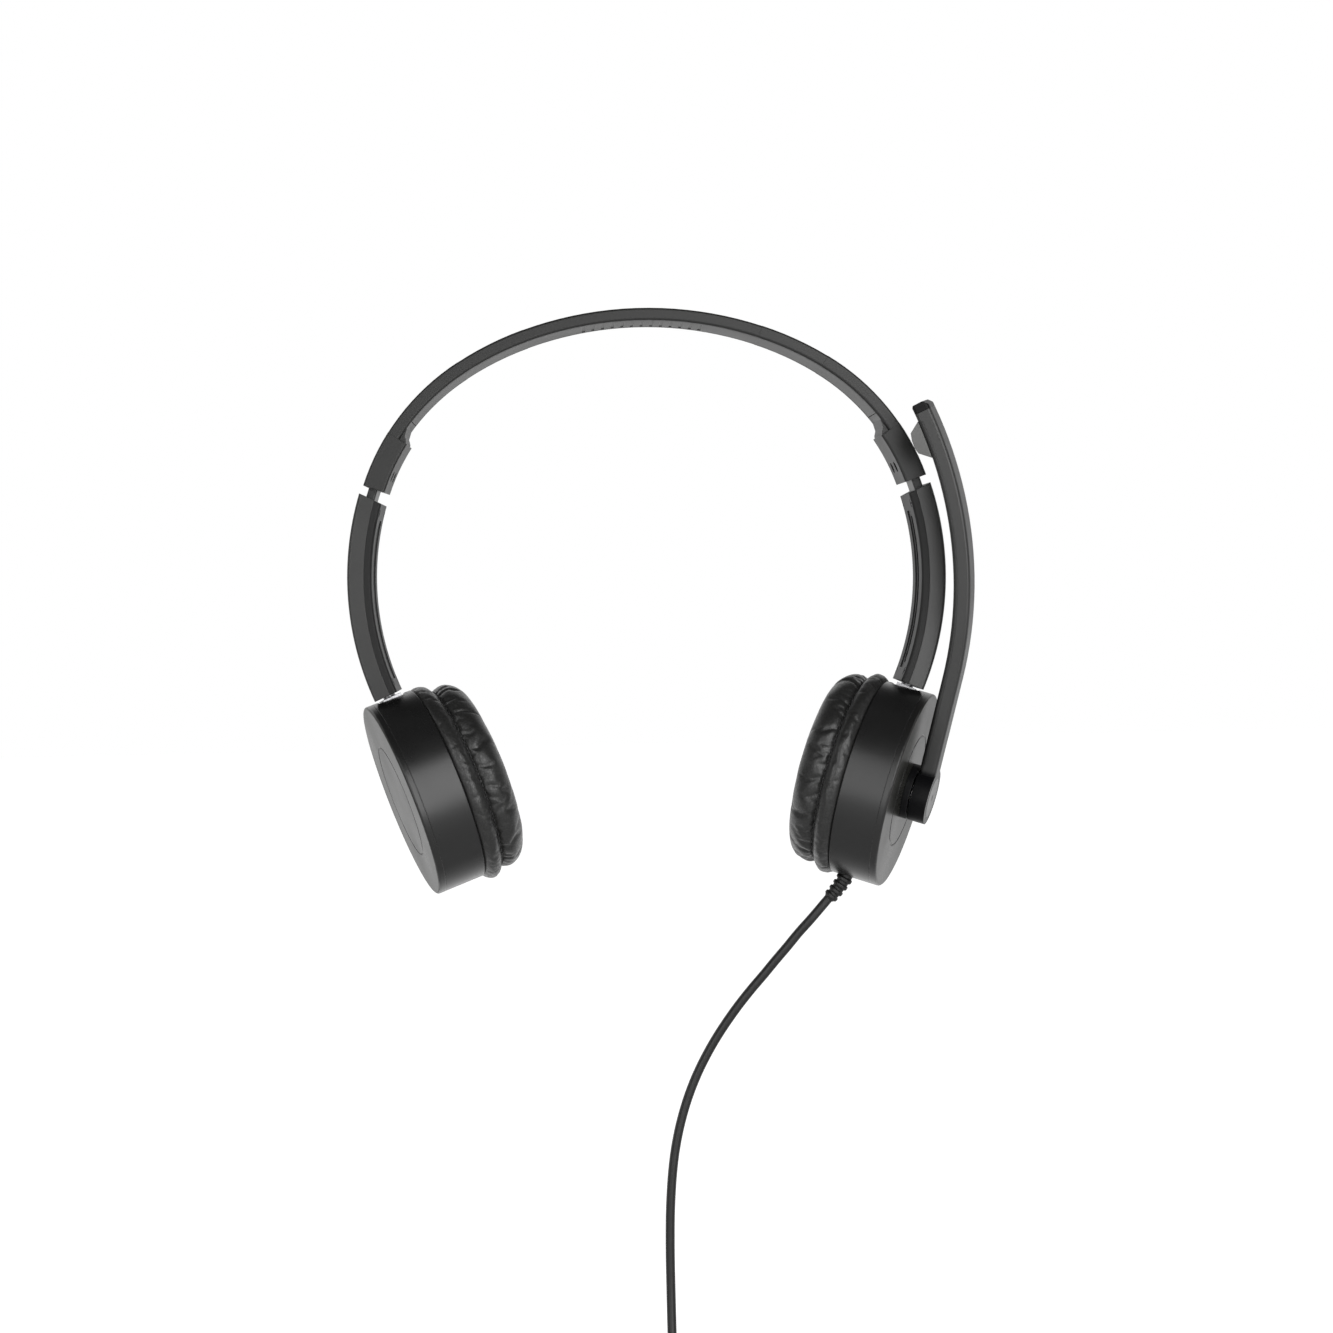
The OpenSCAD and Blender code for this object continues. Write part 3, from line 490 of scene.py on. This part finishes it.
DRUM = ((0.079271, -0.00396, -0.146272), (0.909292, -0.307031, -0.280927), 0.0088)
M = {
    # painted_shade_faces picks the faces that get painted shade; on the cap, the disc gets a painted flat tone
    "band": plastic("band_plastic", (0.0135, 0.0135, 0.013), 0.42, spec=0.38, painted_shade_faces="ring"),
    "liner": plastic("liner_plastic", (0.026, 0.026, 0.025), 0.5, grain=2300, spec=0.42),
    "rail": plastic("rail_plastic", (0.012, 0.012, 0.012), 0.38),
    "arm": plastic("arm_plastic", (0.0185, 0.0185, 0.018), 0.38, painted_shade_faces="ring"),
    "arm_cover": plastic("arm_cover_plastic", (0.008, 0.008, 0.008), 0.5, spec=0.25),
    "housing": plastic("housing_plastic", (0.0105, 0.0105, 0.0105), 0.3, grain=2600, strength=0.1,
                       depth=0.00002, wear=0.25, mottled=0.08),
    "cap": plastic("cap_plastic", (0.0105, 0.0105, 0.0103), 0.3, grain=2000, strength=0.12,
                   depth=0.00002, edge=0.00045, painted_shade_faces="disc"),
    "baffle": plastic("baffle_plastic", (0.016, 0.016, 0.016), 0.55),
    "driver_plastic": plastic("driver_plastic", (0.12, 0.12, 0.12), 0.5),
    "cone": plastic("cone_film", (0.6, 0.58, 0.5), 0.25),
    "hub": plastic("hub_plastic", (0.005, 0.005, 0.0055), 0.42, spec=0.2),
    "boom": plastic("boom_plastic", (0.023, 0.023, 0.0225), 0.38, drum=DRUM, painted_shade_faces="ring"),
    "boom_back": plastic("boom_back_plastic", (0.013, 0.013, 0.0127), 0.42, painted_shade_faces="ring"),
    "boom_cap": plastic("boom_cap_plastic", (0.026, 0.026, 0.0252), 0.34),
    "boom_tip": plastic("boom_tip_plastic", (0.005, 0.005, 0.005), 0.4, spec=0.15),
    "pod": plastic("pod_plastic", (0.11, 0.11, 0.107), 0.45, painted_shade_faces="front"),
    "grille": plastic("grille_plastic", (0.008, 0.008, 0.008), 0.5),
    "board": plastic("board_mask", (0.02, 0.14, 0.06), 0.25),
    "plug_plastic": plastic("plug_plastic", (0.015, 0.015, 0.015), 0.45),
    "spring_steel": metal("spring_steel", (0.56, 0.56, 0.57), 0.25, brushed=1),
    "black_steel": metal("black_steel", (0.05, 0.05, 0.055), 0.38),
    "neck_metal": metal("neck_metal", (0.34, 0.34, 0.35), 0.38, brushed=1),
    "magnet": metal("magnet_plate", (0.5, 0.5, 0.52), 0.3),
    "pin_steel": metal("pin_steel", (0.6, 0.6, 0.62), 0.22, brushed=1),
    "capsule_metal": metal("capsule_metal", (0.55, 0.55, 0.56), 0.35),
    "plug_metal": metal("plug_metal", (0.62, 0.62, 0.63), 0.24, brushed=1),
    "leatherette": leatherette("leatherette", (0.0175, 0.0175, 0.017)),
    "scrim": woven("scrim_cloth", (0.03, 0.03, 0.032)),
    "thread": rubber("thread", (0.012, 0.012, 0.012), 0.6, grain=2600),
    "strain_rubber": rubber("strain_rubber", (0.0055, 0.0055, 0.0055), 0.5),
    "cord": rubber("cord_sheath", (0.0065, 0.0065, 0.0065), 0.42),
    "tie": woven("tie_cloth", (0.02, 0.02, 0.02), 0.0006),
}
slot_of = {s["node"]: s["material_slot"] for s in frame["record"]["subparts"]}
for name, ob in nodes.items():
    mat = M[slot_of[name]]
    if not ob.material_slots:
        ob.data.materials.append(mat)
    for ms in ob.material_slots:
        ms.material = mat
cord.data.materials.append(M["cord"])

# ---------------------------------------------------------------- ear cushions
# profile round the ring, mm: (towards the head from the housing's edge, radius), starting inside
PROFILE = [
    (5.5, 24.3), (5.3, 26.4), (4.6, 28.05), (2.6, 28.1), (0.6, 28.15), (0.15, 28.9),
    (0.2, 30.1), (0.85, 30.95), (2.1, 31.4), (3.5, 31.3), (4.7, 30.6), (5.55, 29.5),
    (6.05, 28.35), (6.5, 29.0), (7.4, 29.9), (8.9, 30.35), (10.8, 30.1), (12.7, 28.8),
    (14.3, 26.6), (15.3, 23.9), (15.75, 21.2), (15.6, 18.5), (14.8, 16.2), (13.2, 14.6),
    (11.2, 13.75), (9.0, 13.7), (7.2, 14.3), (6.0, 15.6), (5.6, 17.8), (5.5, 21.0)]
SEAM_I = 12
NA = 300
PER = 2


def rnd(seed, k):
    return (math.sin(seed * 127.1 + k * 311.7) * 43758.5453) % 1


SAG = {"l": 1.15, "r": -0.3}


def cushion(side, seed):
    prof = catmull([(t, r, 0) for t, r in PROFILE], PER, closed=True)
    npf = len(prof)
    seam = SEAM_I * PER
    # arc length from the seam, along the profile
    dist = [0.0] * npf
    d = 0.0
    for k in range(1, npf):
        d += (prof[(seam + k) % npf] - prof[(seam + k - 1) % npf]).length
        dist[(seam + k) % npf] = d
    total = d + (prof[seam] - prof[(seam - 1) % npf]).length
    K = 58
    tucks = []
    for k in range(K):
        th = 2 * math.pi * (k + 0.7 * (rnd(seed, k) - 0.5)) / K
        tucks.append((th, 0.35 + 0.65 * rnd(seed, k + 100), 2.4 + 4.2 * rnd(seed, k + 200),
                      0.030 * (rnd(seed, k + 300) - 0.5), 0.026 + 0.016 * rnd(seed, k + 400)))
    verts, pin, gather = [], [], []
    for j in range(NA):
        th = 2 * math.pi * j / NA
        slow = noise.noise(Vector((math.cos(th) * 1.3, math.sin(th) * 1.3, seed * 3.1)))
        for i in range(npf):
            t, r = prof[i].x, prof[i].y
            nx = prof[(i + 1) % npf] - prof[i - 1]
            nrm = Vector((-nx.y, nx.x))
            nrm = nrm.normalized() if nrm.length else Vector((0, 1))
            # outward is away from the ring's core
            core = Vector((10.7, 21.6)) if t > 6.0 else Vector((3.0, 29.2))
            if (Vector((t, r)) - core).dot(nrm) < 0:
                nrm = -nrm
            up_side = dist[i] if dist[i] < total / 2 else total
            dn_side = total - dist[i] if i != seam else 0
            cut = 0.0
            for th0, a, ln, sl, w in tucks:
                u = (th - th0 + math.pi) % (2 * math.pi) - math.pi
                if abs(u) > 0.16:
                    continue
                if up_side < ln:
                    f = (1 - up_side / ln) ** 1.2
                    g = math.exp(-((u - sl * up_side) / (w * (0.7 + 0.5 * up_side / ln))) ** 2)
                    cut += 0.62 * a * f * g * min(1, up_side / 0.5 + 0.25)
                if dn_side < 2.2:
                    f = (1 - dn_side / 2.2) ** 1.3
                    g = math.exp(-((u + 0.01) / (w * 0.9)) ** 2)
                    cut += 0.26 * a * f * g
            swell = 0.0
            if t > 6.4:
                swell = 0.22 * slow + 0.10 * noise.noise(Vector((math.cos(th) * 5, math.sin(th) * 5, t * 0.35 + seed)))
            elif dist[i] > total / 2 and r > 28.6:
                swell = 0.10 * noise.noise(Vector((math.cos(th) * 6, math.sin(th) * 6, t * 0.5 + seed)))
            t2 = t + nrm.x * (swell - cut)
            r2 = r + nrm.y * (swell - cut)
            if t2 > 6:
                t2 = 6 + (t2 - 6) * (0.82 if side == "l" else 0.83)
            ease = smooth01((t2 - 0.2) / 3.5)
            sag = SAG[side] * ease              # the cover sits off centre on its rim
            r2 *= 1 + (0.008 if side == "l" else 0.022) * ease
            verts.append((-(HALF + t2), r2 * math.cos(th), r2 * math.sin(th) - sag))
            hidden = (t <= 6.0 and (r < 28.5 or t < 0.6)) or (t < 7.0 and r < 15.6)
            pin.append(1.0 if hidden or i == seam else 0.0)
            gather.append(max(0.0, 1 - up_side / 7.0) if i != seam else 1.0)
    faces = []
    for j in range(NA):
        j2 = (j + 1) % NA
        for i in range(npf):
            i2 = (i + 1) % npf
            faces.append((j * npf + i, j2 * npf + i, j2 * npf + i2, j * npf + i2))
    name = "cushion_" + side
    S = 0.02   # the pad is simulated fifty times smaller than in mm, twenty times larger than life
    sim = mesh_object(name + "_sim", [tuple(c * S for c in v) for v in verts], faces)
    flip = sum(p.normal.dot(Vector((0, p.center.y, p.center.z))) > 0
               for p in sim.data.polygons if (p.center.y ** 2 + p.center.z ** 2) > (29 * S) ** 2)
    outer = sum(1 for p in sim.data.polygons if (p.center.y ** 2 + p.center.z ** 2) > (29 * S) ** 2)
    if flip < outer / 2:
        sim.data.flip_normals()
    vg = sim.vertex_groups.new(name="pin")
    vg.add([i for i, w in enumerate(pin) if w > 0], 1.0, "REPLACE")
    gg = sim.vertex_groups.new(name="gather")
    for i, w in enumerate(gather):
        if w > 0:
            gg.add([i], w, "REPLACE")
    md = sim.modifiers.new("Cloth", "CLOTH")
    cs = md.settings
    cs.quality = 5
    cs.mass = 0.25
    cs.tension_stiffness = 18
    cs.compression_stiffness = 18
    cs.shear_stiffness = 6
    cs.bending_stiffness = 0.25
    cs.tension_damping = 8
    cs.compression_damping = 8
    cs.air_damping = 2
    cs.use_pressure = True
    cs.uniform_pressure_force = 3.7
    cs.effector_weights.gravity = 0
    cs.vertex_group_mass = "pin"
    cs.vertex_group_shrink = "gather"
    cs.shrink_min = -0.015
    cs.shrink_max = -0.13
    md.collision_settings.use_collision = False
    md.collision_settings.use_self_collision = False
    md.point_cache.frame_start, md.point_cache.frame_end = 1, 20
    for f in range(1, 19):
        scene.frame_set(f)
    dg = bpy.context.evaluated_depsgraph_get()
    me = sim.evaluated_get(dg).to_mesh()
    cap = 1.5
    out = []
    for v0, v in zip(verts, me.vertices):
        p = v.co / S
        d = p - Vector(v0)
        if d.length > cap:
            d *= cap / d.length
        out.append(tuple(Vector(v0) + d))
    sim.evaluated_get(dg).to_mesh_clear()
    bpy.data.objects.remove(sim)
    scene.frame_set(1)
    verts = out
    M4 = CUP[side]
    ob = mesh_object(name, [tuple(M4 @ (Vector(v) * MM)) for v in verts], faces)
    p = max(ob.data.polygons, key=lambda q: (M4.inverted() @ q.center).yz.length)
    if p.normal.dot((M4.to_3x3() @ Vector((0, *(M4.inverted() @ p.center).yz)))) < 0:
        ob.data.flip_normals()
    sub = ob.modifiers.new("Subdivision", "SUBSURF")
    sub.levels = sub.render_levels = 1
    ob.data.materials.append(M["leatherette"])
    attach(ob, "cup_" + side)
    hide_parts("ear_cushion_" + side)

    # running stitch in the gathered seam
    sv, sf = [], []
    n = 76
    for k in range(n):
        th = 2 * math.pi * (k + 0.2 * (rnd(seed, k + 500) - 0.5)) / n
        half_a = 0.9 / 28.7
        for a in range(7):
            u = -1 + 2 * a / 6
            rad = 0.2 * math.sqrt(max(0.0, 1 - u * u * 0.92))
            ang = th + half_a * u
            rr = (28.72 + 0.16 * (1 - u * u)) * (1.008 if side == "l" else 1.022)
            for b in range(8):
                w = 2 * math.pi * b / 8
                sv.append(tuple(M4 @ (Vector((-(HALF + 6.05 + rad * math.sin(w) * 1.2),
                                              (rr + rad * math.cos(w)) * math.cos(ang),
                                              (rr + rad * math.cos(w)) * math.sin(ang) - SAG[side])) * MM)))
        o = k * 56
        for a in range(6):
            for b in range(8):
                b2 = (b + 1) % 8
                sf.append((o + a * 8 + b, o + a * 8 + b2, o + (a + 1) * 8 + b2, o + (a + 1) * 8 + b))
        sf.append(tuple(o + b for b in range(7, -1, -1)))
        sf.append(tuple(o + 48 + b for b in range(8)))
    st = mesh_object("cushion_stitch_" + side, sv, sf)
    st.data.materials.append(M["thread"])
    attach(st, "cup_" + side)
    return ob


def scrim(side):
    vs, fs = [(-(HALF + 5.9) * MM, 0, 0)], []
    rings = [1.5, 3, 5, 7, 9, 11, 13, 15, 18, 21, 24.6]
    n = 72
    for r in rings:
        t = 5.05 + 0.85 * (1 - min(1, r / 15) ** 2)
        for k in range(n):
            a = 2 * math.pi * k / n
            vs.append((-(HALF + t) * MM, r * math.cos(a) * MM, r * math.sin(a) * MM))
    for k in range(n):
        fs.append((0, 1 + (k + 1) % n, 1 + k))
    for q in range(len(rings) - 1):
        for k in range(n):
            a, b = 1 + q * n + k, 1 + q * n + (k + 1) % n
            fs.append((a, b, b + n, a + n))
    ob = mesh_object("scrim_" + side, vs, fs)
    so = ob.modifiers.new("Solidify", "SOLIDIFY")
    so.thickness = 0.0004
    so.offset = 0
    ob.matrix_world = CUP[side]
    ob.data.materials.append(M["scrim"])
    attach(ob, "cup_" + side)
    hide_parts("ear_scrim_" + side)
    return ob


for side, seed in (("l", 3), ("r", 8)):
    cushion(side, seed)
    scrim(side)


# ---------------------------------------------------------------- strain relief
def strain():
    vs, fs = [], []
    n = 32
    sect = []
    for k in range(15):             # collar through the wall
        s = -3.2 + 3.2 * k / 14
        sect.append((s, 2.78 if k < 13 else 2.78 - 0.35 * (k - 12)))
    ribs = [1.55, 3.75, 5.95, 8.1]
    m = 110
    for k in range(1, m + 1):
        s = 9.25 * k / m
        core = 2.08 - 0.34 * (s / 9.25)
        r = core
        for c in ribs:
            x = abs(s - c) / 0.72
            if x < 1:
                r = max(r, core + (0.58 - 0.07 * (c / 8.1)) * (1 - x ** 3.2) ** 0.6)
        if s > 9.05:
            r = min(r, core * (1 - 0.12 * (s - 9.05) / 0.2))
        sect.append((s, r))
    for s, r in sect:
        a = 0.2094 + max(0.0, s) / 29.44
        if s <= 0:
            k = 1 + s / 3.2             # straight in the wall, leaning at the mouth
            a = 0.2094 * k * k
            c = Vector((-3.5, 0, -30.4 - s))
        else:
            c = Vector((-3.5 - 29.44 * (math.cos(0.2094) - math.cos(a)), 0,
                        -30.4 - 29.44 * (math.sin(a) - math.sin(0.2094))))
        nx = Vector((math.cos(a), 0, -math.sin(a)))
        for k in range(n):
            w = 2 * math.pi * k / n
            vs.append(c + nx * (r * math.cos(w)) + Vector((0, r * math.sin(w), 0)))
    q = len(sect)
    for i in range(q - 1):
        for k in range(n):
            k2 = (k + 1) % n
            fs.append((i * n + k, i * n + k2, (i + 1) * n + k2, (i + 1) * n + k))
    fs.append(tuple(range(n - 1, -1, -1)))
    fs.append(tuple((q - 1) * n + k for k in range(n)))
    ob = mesh_object("strain_sleeve", [tuple(CUP["r"] @ (v * MM)) for v in vs], fs)
    ob.data.materials.append(M["strain_rubber"])
    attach(ob, "cup_r")
    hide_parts("strain_relief")


strain()

# ---------------------------------------------------------------- stage and light
FLOOR_NEAR, WORLD_FRONT = 0.07, 0.12
floor_z = cad_box[0].z - 0.006
fl = mesh_object("floor", [(-5, -5, floor_z), (5, -5, floor_z), (5, 5, floor_z), (-5, 5, floor_z)],
                 [(0, 1, 2, 3)], False)
mat, nt, bs, tc = nt_new("floor_paint")
bs.inputs["Base Color"].default_value = (0.82, 0.82, 0.82, 1)
bs.inputs["Roughness"].default_value = 0.9
bs.inputs["Specular IOR Level"].default_value = 0.0
bs.inputs["Emission Color"].default_value = (1, 1, 1, 1)
sep = nt.nodes.new("ShaderNodeSeparateXYZ")
nt.links.new(tc.outputs["Object"], sep.inputs[0])
far = maprange(nt, sep.outputs["Y"], 0.02, 0.46, 0.0, 1.0, True)
nt.links.new(maprange(nt, far, 0, 1, FLOOR_NEAR, 0.92), bs.inputs["Emission Strength"])
fl.data.materials.append(mat)

world = bpy.data.worlds.new("studio")
scene.world = world
world.use_nodes = True
nt = world.node_tree
nt.nodes.clear()
wo = nt.nodes.new("ShaderNodeOutputWorld")
bg = nt.nodes.new("ShaderNodeBackground")
nt.links.new(bg.outputs[0], wo.inputs[0])
tc = nt.nodes.new("ShaderNodeTexCoord")
sep = nt.nodes.new("ShaderNodeSeparateXYZ")
nt.links.new(tc.outputs["Generated"], sep.inputs[0])
rise = maprange(nt, sep.outputs["Z"], 0.36, 0.72, 1.0, 0.06, True)
front = maprange(nt, sep.outputs["Y"], -0.35, 0.25, WORLD_FRONT, 1.0, True)
nt.links.new(mth(nt, "MULTIPLY", rise, front), bg.inputs["Strength"])
bg.inputs["Color"].default_value = (1, 1, 1, 1)


def area(name, az, el, dist, w, h, radiance, aim=(0, 0, -0.09)):
    a, e = math.radians(az), math.radians(el)
    d = Vector((math.sin(a) * math.cos(e), -math.cos(a) * math.cos(e), math.sin(e)))
    ld = bpy.data.lights.new(name, "AREA")
    ld.shape = "RECTANGLE"
    ld.size, ld.size_y = w, h
    ld.energy = radiance * math.pi * w * h
    lo = bpy.data.objects.new(name, ld)
    scene.collection.objects.link(lo)
    lo.location = Vector(aim) + d * dist
    lo.rotation_mode = "QUATERNION"
    lo.rotation_quaternion = (-d).to_track_quat("-Z", "Y")
    return lo


area("key", 22, 9, 1.5, 1.05, 1.5, 4.0)
area("fill", -30, 9, 1.5, 0.8, 1.5, 2.6)
scene.view_settings.view_transform = "Standard"
scene.view_settings.look = "None"

# ---------------------------------------------------------------- update
bpy.context.view_layer.update()
